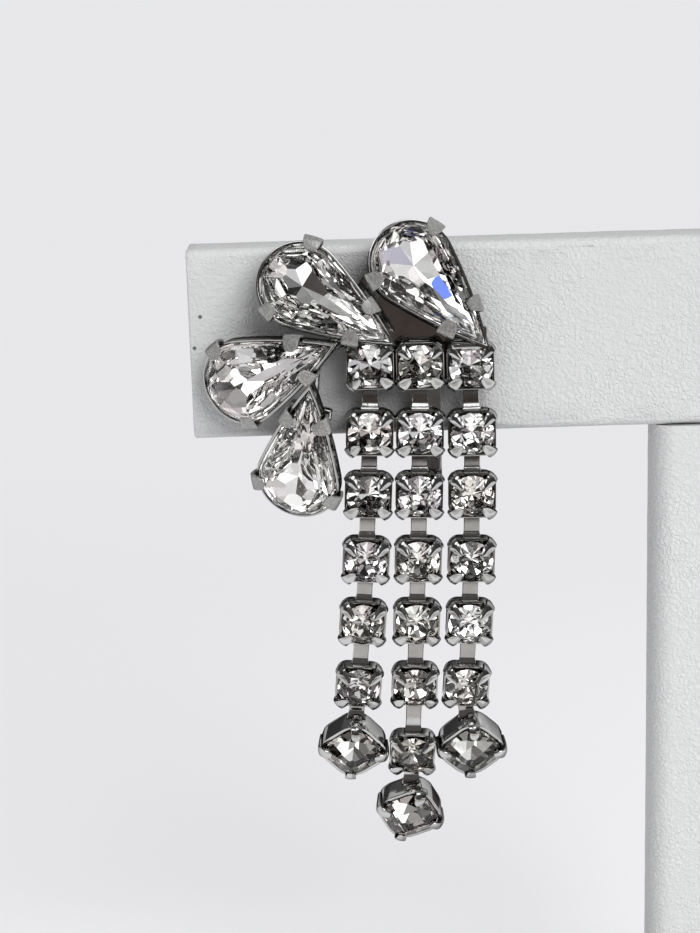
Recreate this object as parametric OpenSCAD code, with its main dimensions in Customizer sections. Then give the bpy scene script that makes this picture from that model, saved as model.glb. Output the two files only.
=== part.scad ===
// Clip-on rhinestone earring with three hanging strands, clamped to a plain display stand.
// The origin is the centre of the stand's footprint. +Z is up and the front faces -Y.

/* [Display stand] */
// Length of the cross arm
arm_length = 110; // [100:1:120]
// Height of the cross arm
arm_height = 19; // [18:0.5:20]
// Thickness of the cross arm
arm_thick = 6; // [5:0.5:6]
// Height of the arm's top above the table
arm_top = 99; // [99:1:103]
// Width of the post
post_width = 18.6; // [16:0.2:22]
// Width of the base
base_width = 70; // [64:1:80]
// Depth of the base, front to back
base_depth = 46; // [42:1:50]
// Height of the base
base_height = 8; // [6:0.5:9]

/* [Strands] */
// Width of a small cup across its corner lobes
cup_width = 4.8; // [4.7:0.05:4.85]
// Depth of a small cup, from its back to the top of its wall
cup_wall = 1.95; // [1.9:0.05:2]
// Radius of a small stone at its girdle
stone_r = 2; // [1.95:0.01:2.02]
// Share of the measured face-down tilt that the cups have
tilt_share = 1; // [0.7:0.05:1.1]

/* [Drops] */
// Width of a drop's cup across its flats
drop_width = 6; // [5.9:0.05:6.05]
// Thickness of the wall around a drop's stone
drop_rim = 0.32; // [0.28:0.02:0.4]
// Face-down tilt of the drops
drop_tilt = 21; // [18:1:24]

/* [Pears] */
// Radius of the round end of a pear setting
pear_r = 4.25; // [4:0.05:4.4]
// Distance from the centre of the round end to the setting's tip
pear_tip = 11.05; // [10.5:0.05:11.5]
// Radius of the bowed long sides of a pear setting
pear_side_r = 48; // [40:1:60]
// Height of a pear setting's wall
pear_wall = 1.85; // [1.8:0.05:1.9]

/* [Clip] */
// Gap that the closed clip leaves on each side of the arm
clip_gap = 0.4; // [0.3:0.05:0.5]
// Thickness of the clip's front strap and of the plate behind the cluster
plate_thick = 0.9; // [0.7:0.05:1]
// Width of the clip's front strap
strap_width = 2.6; // [2.2:0.1:3]

/* [Hidden] */
$fn = 48;
eps = 0.05;
play = 0.06;

// Places measured from the middle of the stand
arm_bottom = arm_top - arm_height;
arm_front = -arm_thick / 2;
plate_back = arm_front - clip_gap;
plate_front = plate_back - plate_thick;
strap_x = -31.75;
hinge_z = 77.2;
hinge_y = arm_thick / 2 + clip_gap + 1.2;

// Strands: name, x and z of the top cup, sideways lean and curl per row, number of cups
STRANDS = [
    ["left", -37.34, 87.55, 0.15, 0.05, 6],
    ["middle", -32.46, 87.4, 0.13, 0.021, 7],
    ["right", -27.54, 87.25, -0.08, 0.05, 6],
];

// Rows of cups: distance below the top cup, face-down tilt
ROWS = [
    [0, 0],
    [6.55, 2],
    [12.9, 2],
    [19.6, 4.5],
    [26.2, 6.5],
    [33.05, 11],
    [40.65, 14],
    [47.7, 14],
];

// Drops under the strands: clockwise turn of the cup's corners, sideways lean, length of the link
DROPS = [
    [1, 6, 1.9],
    [17, 3, 1.75],
    [9, -6.5, 1.85],
];

// Pear settings: name, centre of the round end at the girdle, turn of the tip, lift of the tip, roll
PEARS = [
    ["top", [-33.07, -6.92, 97.64], -48.7, 10.8, -15],
    ["upper", [-43.82, -6.9, 95.9], -32.7, 13.6, -12],
    ["side", [-49.67, -7.3, 86.64], 24.7, 23.4, -5],
    ["lower", [-44.75, -6.35, 76.49], 81.1, 19.4, -14],
];

// Bars across the open backs of the pears: how far along the setting, where the leg from it ends
LEGS = [
    [4.2, [-32.2, -4, 93.6]],
    [5, [-38.2, -4, 92.8]],
    [5.5, [-39, -4.2, 90.2]],
    [7, [-42.6, -5.9, 89.2]],
];

// Depths inside a small cup, measured from its back
cup_floor = 0.3;
slot_z = 0.75;
slot_wide = 1.95;
slot_high = 0.8;
slot_reach = 2.05;
girdle_z = 1.92;
girdle_thick = 0.1;
cup_back = plate_front + eps;
hang_back = plate_front - 0.3;
lobe_r = 0.75;
side_dip = 0.2;

// Flat links between the cups
link_wide = 1.6;
link_thick = 0.28;
head_wide = 2.2;
head_long = 0.3;
head_in = 0.85;

// Depths inside a drop's cup
drop_floor = 0.4;
drop_wall = 3;
drop_girdle = 2.95;
drop_corner_r = 1.8;
drop_slot_z = 1.0;
drop_slot_high = 1.3;
drop_reach = 3;
drop_ledge = 0.25;

// Depths inside a pear setting
pear_girdle = 1.75;
pear_gap = 0.37;
pear_table_in = 1.55;
pear_crown = 1.25;
pear_pavilion = 1.7;

// Turning a point about the X and Y axes
function turn_x(v, a) = [v[0], v[1] * cos(a) - v[2] * sin(a), v[1] * sin(a) + v[2] * cos(a)];
function turn_y(v, a) = [v[0] * cos(a) + v[2] * sin(a), v[1], v[2] * cos(a) - v[0] * sin(a)];
function turn_z(v, a) = [v[0] * cos(a) - v[1] * sin(a), v[0] * sin(a) + v[1] * cos(a), v[2]];

// Where cup i of strand s hangs, counted from 0 at the cluster
function cup_x(s, i) = s[1] - s[3] * i - s[4] * i * i;
function cup_z(s, i) = s[2] - ROWS[i][0];
function cup_tilt(i) = tilt_share * ROWS[i][1];
function cup_y(i) = i == 0 ? cup_back
    : i == 1 ? hang_back
    : cup_y(i - 1) + slot_reach * (sin(cup_tilt(i - 1)) + sin(cup_tilt(i)));
function lean_of(s, i) = i == 0 ? 0
    : atan2(cup_x(s, i - 1) - cup_x(s, i + 1), cup_z(s, i - 1) - cup_z(s, i + 1));
function cup_point(s, i, p) =
    [cup_x(s, i), cup_y(i), cup_z(s, i)]
    + turn_y(turn_x([p[0], -p[2], p[1]], cup_tilt(i)), lean_of(s, i));

// Where the drop of strand s hangs: its upper slot is straight below the last cup's lower slot
function last_slot(s) = cup_point(s, s[5] - 1, [0, -slot_reach, slot_z]);
function drop_slot(s, k) = last_slot(s) - DROPS[k][2] * [sin(DROPS[k][1]), 0, cos(DROPS[k][1])];
function drop_offset(k) = turn_y(turn_x([0, -drop_slot_z, drop_reach], drop_tilt), DROPS[k][1]);
function drop_origin(s, k) = drop_slot(s, k) - drop_offset(k);

// Where a point of a pear setting comes to lie
function pear_place(p, v) =
    p[1] + turn_x(turn_z(turn_y(turn_x(v - [0, 0, pear_girdle], p[4]), -p[3]), p[2]), 90);

// Pear outline: a round end and two bowed sides that meet in a tip, drawn in by an inset
side_cx = (pow(pear_tip, 2) - 2 * pear_side_r * pear_r + pow(pear_r, 2)) / (2 * pear_tip);
side_cy = sqrt(pow(pear_side_r - pear_r, 2) - pow(side_cx, 2));
join_a = atan2(-side_cx, side_cy);
arc_share = 1 - (1 / (1 + (180 - 90 + join_a) * pear_r
    / ((acos(side_cy / pear_side_r) - join_a) * pear_side_r)));
function tip_angle(inset) = acos(side_cy / (pear_side_r - inset));
function side_point(u, inset) =
    let (a = tip_angle(inset) + (join_a - tip_angle(inset)) * u, r = pear_side_r - inset)
    [side_cx + r * sin(a), -side_cy + r * cos(a)];
function round_point(u, inset) =
    let (a = 90 - join_a + (90 + join_a) * u, r = pear_r - inset)
    [r * cos(a), r * sin(a)];
function half_point(h, inset) =
    h < 1 - arc_share ? side_point(h / (1 - arc_share), inset)
    : round_point((h - 1 + arc_share) / arc_share, inset);
function pear_point(f, inset) =
    let (h = f <= 0.5 ? 2 * f : 2 - 2 * f, p = half_point(h, inset))
    [p[0], f <= 0.5 ? p[1] : -p[1]];

// A cut stone from six rings of points: table, crown tips, girdle top and bottom, pavilion tips, culet
function stone_points(table, crown, girdle, lower_girdle, pavilion, culet) =
    concat(table, crown, girdle, lower_girdle, pavilion, [culet]);
function stone_faces(m) =
    let (
        t = function (j) (j + m) % m,
        c = function (j) m + (j + m) % m,
        g = function (k) 2 * m + (k + 2 * m) % (2 * m),
        h = function (k) 4 * m + (k + 2 * m) % (2 * m),
        p = function (j) 6 * m + (j + m) % m,
        culet = 7 * m
    )
    concat(
        [[for (j = [m - 1:-1:0]) t(j)]],
        [for (j = [0:m - 1]) [t(j), t(j + 1), c(j)]],
        [for (j = [0:m - 1]) [t(j), g(2 * j), c(j - 1)]],
        [for (j = [0:m - 1]) [t(j), c(j), g(2 * j)]],
        [for (j = [0:m - 1]) [c(j), g(2 * j + 1), g(2 * j)]],
        [for (j = [0:m - 1]) [c(j), g(2 * j + 2), g(2 * j + 1)]],
        [for (k = [0:2 * m - 1]) [g(k), g(k + 1), h(k + 1)]],
        [for (k = [0:2 * m - 1]) [g(k), h(k + 1), h(k)]],
        [for (j = [0:m - 1]) [h(2 * j), h(2 * j + 1), p(j)]],
        [for (j = [0:m - 1]) [h(2 * j + 1), h(2 * j + 2), p(j)]],
        [for (j = [0:m - 1]) [culet, p(j - 1), h(2 * j)]],
        [for (j = [0:m - 1]) [culet, h(2 * j), p(j)]]
    );

// Distance to the edge of a square with rounded corners; a circle when the corner is half its width
function square_r(a, half, corner) =
    let (
        b = abs((a + 45 + 360) % 90 - 45),
        c = half - corner,
        along = c * (cos(b) + sin(b))
    )
    half * tan(b) <= c ? half / cos(b) : along + sqrt(along * along - 2 * c * c + corner * corner);
function ring(n, half, corner, z, shift) =
    [for (k = [0:n - 1])
        let (a = shift + k * 360 / n, r = square_r(a, half, corner))
        [r * cos(a), r * sin(a), z]];

// Stone with eight main facets, its girdle's lower edge at z = 0
module eight_stone(half, corner, thick, crown, pavilion) {
    table = 0.56;
    tip = 0.8;
    low = 0.42;
    tip_z = thick + crown * (1 - (tip * cos(22.5) - table) / (1 - table));
    low_z = pavilion * (low * cos(22.5) - 1);
    polyhedron(
        points = stone_points(
            ring(8, table * half, table * corner, thick + crown, 0),
            ring(8, tip * half, tip * corner, tip_z, 22.5),
            ring(16, half, corner, thick, 0),
            ring(16, half, corner, 0, 0),
            ring(8, low * half, low * corner, low_z, 22.5),
            [0, 0, -pavilion]
        ),
        faces = stone_faces(8)
    );
}

// Pear stone with twelve main facets, its girdle's lower edge at z = 0
module pear_stone() {
    m = 12;
    crown_in = 0.62;
    low_in = 2.1;
    slope = pear_crown / pear_table_in;
    tip_z = girdle_thick + crown_in * slope + 0.12;
    low_z = -pear_pavilion * low_in / pear_r - 0.1;
    at = function (count, shift, inset, z)
        [for (k = [0:count - 1]) let (p = pear_point((k + shift) / count, pear_gap + inset)) [p[0], p[1], z]];
    polyhedron(
        points = stone_points(
            at(m, 0, pear_table_in, girdle_thick + pear_crown),
            at(m, 0.5, crown_in, tip_z),
            at(2 * m, 0, 0, girdle_thick),
            at(2 * m, 0, 0, 0),
            at(m, 0.5, low_in, low_z),
            [1.2, 0, -pear_pavilion]
        ),
        faces = stone_faces(m)
    );
}

// Frames that carry a piece from its own axes, face up, to its place
module at_cup(s, i) {
    translate([cup_x(s, i), cup_y(i), cup_z(s, i)])
        rotate([0, lean_of(s, i), 0])
            rotate([cup_tilt(i) + 90, 0, 0])
                children();
}
module at_drop(s, k) {
    translate(drop_origin(s, k))
        rotate([0, DROPS[k][1], 0])
            rotate([drop_tilt + 90, 0, 0])
                children();
}
module at_pear(p) {
    translate(p[1])
        rotate([90, 0, 0])
            rotate([0, 0, p[2]])
                rotate([0, -p[3], 0])
                    rotate([p[4], 0, 0])
                        translate([0, 0, -pear_girdle])
                            children();
}

// Small square cup with four corner claws and a slot in its upper and lower wall
module cup_outline() {
    side = cup_width - 2 * side_dip;
    corner = cup_width / 2 - lobe_r;
    square([side, side], center = true);
    for (x = [-corner, corner])
        for (y = [-corner, corner])
            translate([x, y])
                circle(lobe_r);
}
module claw(inner, outer, wall_top, tip_top, wide) {
    rotate([90, 0, 0])
        linear_extrude(wide, center = true)
            polygon([
                [inner + 0.45, 0.5 * wall_top],
                [outer, 0.5 * wall_top],
                [outer, wall_top + 0.2],
                [outer - 0.45, tip_top - 0.1],
                [inner - 0.35, tip_top],
                [inner - 0.35, tip_top - 0.22],
                [inner + 0.12, wall_top + 0.1],
                [inner + 0.12, wall_top - 0.3],
            ]);
}
module cup() {
    corner_r = (cup_width / 2 - lobe_r) * sqrt(2) + lobe_r;
    difference() {
        linear_extrude(cup_wall)
            cup_outline();
        translate([0, 0, girdle_z - 0.22])
            cylinder(r = stone_r + play, h = 1);
        translate([0, 0, cup_floor])
            cylinder(r = stone_r - 0.17, h = 2);
        translate([0, 0, cup_floor + 0.45])
            cube([2 * stone_r - 0.34, 2 * stone_r - 0.34, 0.9], center = true);
        translate([0, 0, slot_z])
            cube([slot_wide, cup_width + 1, slot_high], center = true);
    }
    for (a = [45:90:315])
        rotate([0, 0, a])
            claw(stone_r, corner_r - 0.1, cup_wall, 2.72, 0.9);
}

// Flat link with a cross head inside the cup at each end, from point a down to point b
module link(a, b, head_a, head_b) {
    along = a - b;
    reach = norm(along);
    translate(b)
        rotate([0, atan2(along[0], along[2]), 0])
            rotate([-asin(along[1] / reach), 0, 0]) {
                translate([-link_wide / 2, -link_thick / 2, -head_b])
                    cube([link_wide, link_thick, reach + head_a + head_b]);
                translate([-head_wide / 2, -link_thick / 2, -head_b])
                    cube([head_wide, link_thick, head_long]);
                translate([-head_wide / 2, -link_thick / 2, reach + head_a - head_long])
                    cube([head_wide, link_thick, head_long]);
            }
}

module strand_metal(k) {
    s = STRANDS[k];
    color("lightsteelblue") {
        for (i = [1:s[5] - 1])
            at_cup(s, i)
                cup();
        for (i = [0:s[5] - 2])
            link(
                cup_point(s, i, [0, -slot_reach, slot_z]),
                cup_point(s, i + 1, [0, slot_reach, slot_z]),
                head_in, head_in
            );
        link(last_slot(s), drop_slot(s, k), head_in, 1.45);
    }
}

// Square or oblong with rounded corners
module rounded_bar(wide, deep, r) {
    square([wide - 2 * r, deep], center = true);
    square([wide, deep - 2 * r], center = true);
    for (x = [-1, 1])
        for (y = [-1, 1])
            translate([x * (wide / 2 - r), y * (deep / 2 - r)])
                circle(r);
}

// Drop: a deeper cup with rounded corners, turned so that its claws point up, down and sideways
module drop_outline(inset) {
    rounded_bar(drop_width - 2 * inset, drop_width - 2 * inset, drop_corner_r - inset);
}
module drop_cup(k) {
    s = STRANDS[k];
    corner_r = (drop_width / 2 - drop_corner_r) * sqrt(2) + drop_corner_r;
    color("lightsteelblue")
        at_drop(s, k) {
            difference() {
                rotate([0, 0, 45 - DROPS[k][0]])
                    difference() {
                        linear_extrude(drop_wall)
                            drop_outline(0);
                        translate([0, 0, drop_girdle - 0.25])
                            linear_extrude(1)
                                drop_outline(drop_rim);
                        translate([0, 0, drop_floor])
                            linear_extrude(4)
                                drop_outline(drop_rim + drop_ledge);
                    }
                translate([-slot_wide / 2, 1.5, drop_slot_z - drop_slot_high / 2])
                    cube([slot_wide, 4, drop_slot_high]);
            }
            for (a = [0:90:270])
                rotate([0, 0, a - DROPS[k][0]])
                    claw(corner_r - drop_rim - play, corner_r + 0.1, drop_wall, 3.8, 1.1);
        }
}

// Pear setting: an open-backed wall with a ledge under the stone and four claws
module pear_outline(inset) {
    circle(pear_r - inset);
    intersection() {
        translate([side_cx, -side_cy])
            circle(pear_side_r - inset, $fn = 360);
        translate([side_cx, side_cy])
            circle(pear_side_r - inset, $fn = 360);
        translate([pear_r * sin(join_a), -pear_r])
            square([pear_tip, 2 * pear_r]);
    }
}
module pear_claw() {
    wide = 1.7;
    rotate([90, 0, 0])
        linear_extrude(wide, center = true)
            polygon([
                [-0.15, 1],
                [0.2, 1],
                [0.45, pear_wall + 0.1],
                [0.2, 2.4],
                [-0.95, 2.8],
                [-1, 2.6],
                [-0.3, 2],
                [-0.3, 1.5],
            ]);
}
module pear_setting() {
    difference() {
        union() {
            linear_extrude(0.6)
                pear_outline(0.3);
            translate([0, 0, 0.4])
                linear_extrude(pear_wall - 0.4)
                    pear_outline(0);
        }
        translate([0, 0, 1.38])
            linear_extrude(1)
                pear_outline(0.32);
        translate([0, 0, -1])
            linear_extrude(4)
                pear_outline(1);
    }
    // claws a fifth of the way from the round end and near the tip, on both sides
    for (side = [-1, 1]) {
        rotate([0, 0, side * 106])
            translate([pear_r, 0, 0])
                pear_claw();
        a = join_a + 0.58 * (tip_angle(0) - join_a);
        translate([side_cx + pear_side_r * sin(a), side * (pear_side_r * cos(a) - side_cy), 0])
            rotate([0, 0, side * (90 - a)])
                pear_claw();
    }
}

// Bar across the open back of a pear setting, with the leg that carries it
module pear_leg(p, leg) {
    at_pear(p)
        translate([0, 0, -0.5])
            linear_extrude(0.7)
                intersection() {
                    pear_outline(0.5);
                    translate([leg[0] - 0.7, -pear_r])
                        square([1.4, 2 * pear_r]);
                }
    foot = pear_place(p, [leg[0], 0, -0.2]);
    way = leg[1] - foot;
    translate(foot)
        rotate([0, acos(way[2] / norm(way)), atan2(way[1], way[0])])
            cylinder(r = 0.65, h = norm(way));
}

// Cluster: pear settings, the top cup of each strand, the plate behind them and the clip's strap
module plate() {
    translate([0, plate_back, 0])
        rotate([90, 0, 0])
            linear_extrude(plate_thick) {
                translate([-33.6, 92.2])
                    circle(5.6);
                translate([-39.4, 85.7])
                    square([13.6, 5]);
            }
}

// Strap down the arm's front with a shelf under the arm and two ears for the lever's pin
module strap() {
    ear = 0.7;
    floor_z = hinge_z - 2;
    front = plate_front + 0.1;
    back = plate_back - eps;
    end = hinge_y + 1;
    translate([strap_x, 0, 0])
        rotate([90, 0, 90])
            linear_extrude(strap_width, center = true)
                polygon([
                    [front, floor_z],
                    [end, floor_z],
                    [end, floor_z + 0.8],
                    [back, floor_z + 0.8],
                    [back, 87],
                    [front, 87],
                ]);
    for (x = [strap_x - strap_width / 2 + eps, strap_x + strap_width / 2 - ear - eps])
        difference() {
            translate([x, end - 1.95, floor_z + 0.4])
                cube([ear, 1.9, 2.5]);
            translate([x - 1, hinge_y, hinge_z])
                rotate([0, 90, 0])
                    cylinder(r = 0.5, h = 3);
        }
}
module cluster_frame() {
    color("lightsteelblue") {
        for (i = [0:3]) {
            at_pear(PEARS[i])
                pear_setting();
            pear_leg(PEARS[i], LEGS[i]);
        }
        for (s = STRANDS)
            at_cup(s, 0)
                cup();
        plate();
        strap();
    }
}

// Clip lever behind the arm, with its pin in the ears
module clip_lever() {
    y = arm_thick / 2 + clip_gap;
    wide = strap_width - 1.7;
    color("silver") {
        translate([strap_x - wide / 2, y, hinge_z - 0.45])
            cube([wide, 0.9, 11]);
        translate([strap_x, y + 0.9, hinge_z + 10.5])
            rotate([90, 0, 0])
                cylinder(r = 4, h = 0.9);
        translate([strap_x - wide / 2, hinge_y, hinge_z])
            rotate([0, 90, 0])
                cylinder(r = 0.8, h = wide);
        translate([strap_x - strap_width / 2 - 0.2, hinge_y, hinge_z])
            rotate([0, 90, 0])
                cylinder(r = 0.42, h = strap_width + 0.4);
    }
}

// Stones
module strand_stone(k, i) {
    color("white")
        at_cup(STRANDS[k], i)
            translate([0, 0, girdle_z])
                rotate([0, 0, 22.5])
                    eight_stone(stone_r, stone_r, girdle_thick, 0.72, 1.5);
}
module drop_stone(k) {
    inset = drop_rim + play;
    color("white")
        at_drop(STRANDS[k], k)
            translate([0, 0, drop_girdle])
                rotate([0, 0, 45 - DROPS[k][0]])
                    eight_stone(drop_width / 2 - inset, drop_corner_r - inset, 0.12, 0.95, 2.2);
}
module set_pear_stone(p) {
    color("white")
        at_pear(p)
            translate([0, 0, pear_girdle])
                pear_stone();
}

// Display stand
module stand_arm() {
    color("whitesmoke")
        translate([0, 0, arm_top - arm_height / 2])
            rotate([90, 0, 90])
                linear_extrude(arm_length, center = true)
                    rounded_bar(arm_thick, arm_height, 1);
}
module stand_post() {
    color("whitesmoke")
        translate([0, 0, base_height + eps])
            linear_extrude(arm_bottom - base_height - 2 * eps)
                rounded_bar(post_width, arm_thick, 2.4);
}
module stand_base() {
    color("whitesmoke")
        linear_extrude(base_height)
            rounded_bar(base_width, base_depth, 2);
}

stand_base();
stand_post();
stand_arm();
clip_lever();
cluster_frame();
for (k = [0:2])
    strand_metal(k);
for (k = [0:2])
    drop_cup(k);
for (k = [0:2])
    drop_stone(k);
for (p = PEARS)
    set_pear_stone(p);
for (k = [0:2])
    for (i = [1:STRANDS[k][5]])
        strand_stone(k, i - 1);
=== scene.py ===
"""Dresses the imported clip-on rhinestone earring and its display stand.

Pieces are modelled in millimetres, face up at the origin: x and y across the piece, z towards the
viewer. A finished piece is then carried to its place on the stand, in metres.
"""
import math
import random

import bmesh
import bpy
from mathutils import Matrix, Vector


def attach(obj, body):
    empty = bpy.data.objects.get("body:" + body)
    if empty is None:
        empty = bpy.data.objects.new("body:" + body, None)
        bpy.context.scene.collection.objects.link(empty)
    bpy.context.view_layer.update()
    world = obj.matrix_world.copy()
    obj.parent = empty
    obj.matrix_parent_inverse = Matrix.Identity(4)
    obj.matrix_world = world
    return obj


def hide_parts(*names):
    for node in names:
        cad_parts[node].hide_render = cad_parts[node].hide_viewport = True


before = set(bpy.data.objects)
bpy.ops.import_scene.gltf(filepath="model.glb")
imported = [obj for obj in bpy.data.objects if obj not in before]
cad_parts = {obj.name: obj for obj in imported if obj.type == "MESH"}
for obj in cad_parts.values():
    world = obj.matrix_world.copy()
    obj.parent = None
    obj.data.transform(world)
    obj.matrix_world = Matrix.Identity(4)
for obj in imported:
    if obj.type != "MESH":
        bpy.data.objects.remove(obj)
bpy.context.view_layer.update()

MM = 0.001

# Stand, and how much its wrapped boards stay below its full sizes
ARM_LONG, ARM_HIGH, ARM_THICK, ARM_TOP = 110, 19, 6, 99
ARM_LOW = ARM_TOP - ARM_HIGH
POST_WIDE, BASE_WIDE, BASE_DEEP, BASE_HIGH = 18.6, 70, 46, 8
BOARD_EASE = 0.1

# Plate behind the cluster, strap of the clip and pin of its lever
PLATE_BACK, PLATE_FRONT, PLATE_X, PLATE_R = -3.4, -4.3, -33.6, 5.55
STRAP_X, STRAP_WIDE, HINGE_Y, HINGE_Z = -31.75, 2.6, 4.6, 77.2
LEVER_PLAY, PIN_END = 1.7, 0.18

# Small cups, their stones and links; the top cups sink into the plate and the chain hangs clear of it
CUP_HALF, CUP_CORNER, CUP_WALL, STONE_R, GIRDLE_Z, GIRDLE = 2.33, 1.12, 1.65, 2.0, 1.92, 0.1
SLOT_Z, SLOT_WIDE, SLOT_HIGH, SLOT_REACH = 0.75, 1.95, 0.8, 2.05
LINK_HALF, LINK_THICK, LINK_TAIL = 0.8, 0.28, 0.6
TOP_CUP_SUNK, CHAIN_CLEAR = 0.05, 0.3

# Strands: x and z of the top cup, sideways lean and curl per row, number of cups
STRANDS = {
    "left": (-37.34, 87.55, 0.15, 0.05, 6),
    "middle": (-32.46, 87.4, 0.13, 0.021, 7),
    "right": (-27.54, 87.25, -0.08, 0.05, 6),
}
# Rows of cups: distance below the top cup, face-down tilt
ROWS = [(0, 0), (6.55, 2), (12.9, 2), (19.6, 4.5), (26.2, 6.5), (33.05, 11), (40.65, 14), (47.7, 14)]
# Drops: clockwise turn of the corners, sideways lean, length of the link
DROPS = {"left": (1, 6, 1.9), "middle": (17, 3, 1.75), "right": (9, -6.5, 1.85)}
DROP_HALF, DROP_CORNER, DROP_WALL, DROP_GIRDLE, DROP_TILT, DROP_EDGE = 3.0, 2.15, 3.0, 2.95, 21, 0.38

# Pears: centre of the round end at the girdle, turn of the tip, lift of the tip, roll
PEARS = {
    "top": ((-33.07, -6.92, 97.64), -48.7, 10.8, -15),
    "upper": ((-43.82, -6.9, 95.9), -32.7, 13.6, -12),
    "side": ((-49.67, -7.3, 86.64), 24.7, 23.4, -5),
    "lower": ((-44.75, -6.35, 76.49), 81.1, 19.4, -14),
}
# Claws of a pear setting: direction that the outline faces there, half width, lean outwards
PEAR_CLAWS = {
    "top": ((106, 0.85, 0), (-106, 0.85, 0), (66.5, 0.8, 0), (-66.5, 0.85, 0)),
    "upper": ((106, 0.9, 0.1), (-106, 0.8, 0), (66.5, 0.8, 0), (-66.5, 0.8, 0)),
    "side": ((106, 0.85, 0), (-106, 0.85, 0), (66.5, 0.8, 0), (-66.5, 0.8, 0)),
    "lower": ((106, 0.85, 0), (-106, 0.85, 0), (66.5, 0.8, 0), (-66.5, 0.8, 0)),
}
# Bars across the pears' open backs: how far along the setting, share of its width, end of the leg
LEGS = {
    "top": (4.2, 1.02, (-32.2, -4, 93.6)),
    "upper": (5, 1.02, (-38.2, -4, 92.8)),
    "side": (5.5, 0.82, (-39, -4.2, 90.2)),
    "lower": (7, 0.82, (-42.6, -5.9, 89.2)),
}
PEAR_R, PEAR_TIP, PEAR_SIDE_R, PEAR_GIRDLE = 4.25, 11.05, 48, 1.75
SIDE_X = (PEAR_TIP**2 - 2 * PEAR_SIDE_R * PEAR_R + PEAR_R**2) / (2 * PEAR_TIP)
SIDE_Y = math.sqrt((PEAR_SIDE_R - PEAR_R) ** 2 - SIDE_X**2)
JOIN_TURN = 90 - math.degrees(math.atan2(-SIDE_X, SIDE_Y))

# What each facet of a stone is marked with, for its materials to read
FACET_MARKS = ("facet_shade", "facet_hue", "stone_warmth", "facet_tarnish", "blue_flash", "pale_flash")
# Painted glints: facets of the top pear whose foil is tinted blue or pale blue: mark, x and y on the stone,
# strength; and where the blue ends, in metres
TOP_PEAR_FLASHES = (("blue_flash", 4.7, 0.36, 1.0), ("pale_flash", -1.39, -0.56, 0.3))
BLUE_MIDDLE, BLUE_R = (-0.03023, -0.00633, 0.09501), 0.00115
# Dark specks on the arm, in metres
SPECKS = ((-0.0538, -0.00295, 0.0924), (-0.0545, -0.00295, 0.0893))

# Windows that the metal mirrors: turn round the line of sight, angle from it, half sizes, brightness
WINDOWS = ((76, 54, 9, 8, 2.4), (112, 50, 9, 8, 2.2), (90, 32, 7, 4, 2.0), (196, 58, 6, 9, 1.6),
           (-14, 62, 7, 12, 1.6))
# Round boards that the broad pear facets look at: degrees right, degrees up, half size, brightness
BOARDS = ((55, 0, 8, 1.0), (66, 30, 9, 1.0), (61, 59, 9, 1.1), (-35, 10, 7, 0.7), (-40, 47, 9, 0.42),
          (-63, 6, 7, 0.48), (1, 73, 10, 0.3), (-18, 58, 7, 0.42), (-16, 41, 7, 1.1), (40, 4, 5, 0.8))

# Camera: focal length and height of the frame in pixels, tilt down, roll, place in millimetres
FOCAL_PX, FRAME_PX, CAMERA_TILT, CAMERA_ROLL = 1969, 933, 14, 1.75
CAMERA_AT = (-39.571, -193.796, 124.426)
SENSOR = 36


# The bench: modelling by operators

def clear():
    if bpy.context.mode != "OBJECT":
        bpy.ops.object.mode_set(mode="OBJECT")
    bpy.ops.object.select_all(action="DESELECT")


def take(*pieces):
    clear()
    for piece in pieces:
        piece.select_set(True)
    bpy.context.view_layer.objects.active = pieces[0]


def open_mesh(piece):
    take(piece)
    bpy.ops.object.mode_set(mode="EDIT")
    bpy.ops.mesh.select_all(action="DESELECT")


def close_mesh():
    bpy.ops.object.mode_set(mode="OBJECT")


def pick(kind, test):
    """Selects the open mesh's vertices, edges or faces that pass a test of place and direction."""
    bpy.ops.mesh.select_mode(type=kind)
    bpy.ops.mesh.select_all(action="DESELECT")
    data = bpy.context.object.data
    mesh = bmesh.from_edit_mesh(data)
    if kind == "VERT":
        for v in mesh.verts:
            v.select_set(bool(test(v.co, v.normal)))
    elif kind == "EDGE":
        for e in mesh.edges:
            a, b = e.verts[0].co, e.verts[1].co
            e.select_set(bool(test((a + b) / 2, (b - a).normalized())))
    else:
        for f in mesh.faces:
            f.select_set(bool(test(f.calc_center_median(), f.normal)))
    mesh.select_flush_mode()
    bmesh.update_edit_mesh(data)


def pick_all():
    bpy.ops.mesh.select_all(action="SELECT")


def apply_place():
    bpy.ops.object.transform_apply(location=True, rotation=True, scale=True)


def put(piece, place):
    """Moves, turns or scales the mesh of a piece, whose object stays at the origin."""
    take(piece)
    piece.matrix_world = place
    apply_place()
    return piece


def added(name):
    piece = bpy.context.object
    piece.name = piece.data.name = name
    apply_place()
    return piece


def block(name, wide, deep, high, at):
    clear()
    bpy.ops.mesh.primitive_cube_add(size=1, location=at, scale=(wide, deep, high))
    return added(name)


def rod(name, a, b, radius, sides=20):
    """Round bar from point a to point b."""
    clear()
    a, b = Vector(a), Vector(b)
    turned = (b - a).to_track_quat("Z", "Y").to_euler()
    bpy.ops.mesh.primitive_cylinder_add(
        vertices=sides, radius=radius, depth=(b - a).length, location=(a + b) / 2, rotation=turned)
    return added(name)


def modify(piece, kind, **settings):
    take(piece)
    mod = piece.modifiers.new(kind.title(), kind)
    for key, value in settings.items():
        setattr(mod, key, value)
    bpy.ops.object.modifier_apply(modifier=mod.name)


def round_off(piece, width, segments=2, angle=35):
    modify(piece, "BEVEL", width=width, segments=segments, limit_method="ANGLE",
           angle_limit=math.radians(angle), harden_normals=False)


def cut_out(piece, tool, how="DIFFERENCE"):
    """Cuts the tool out of a piece, or adds it to the piece; the tool is used up."""
    modify(piece, "BOOLEAN", object=tool, operation=how, solver="EXACT")
    bpy.data.objects.remove(tool)


def smooth(piece, angle=35):
    take(piece)
    bpy.ops.object.shade_smooth_by_angle(angle=math.radians(angle))


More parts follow.
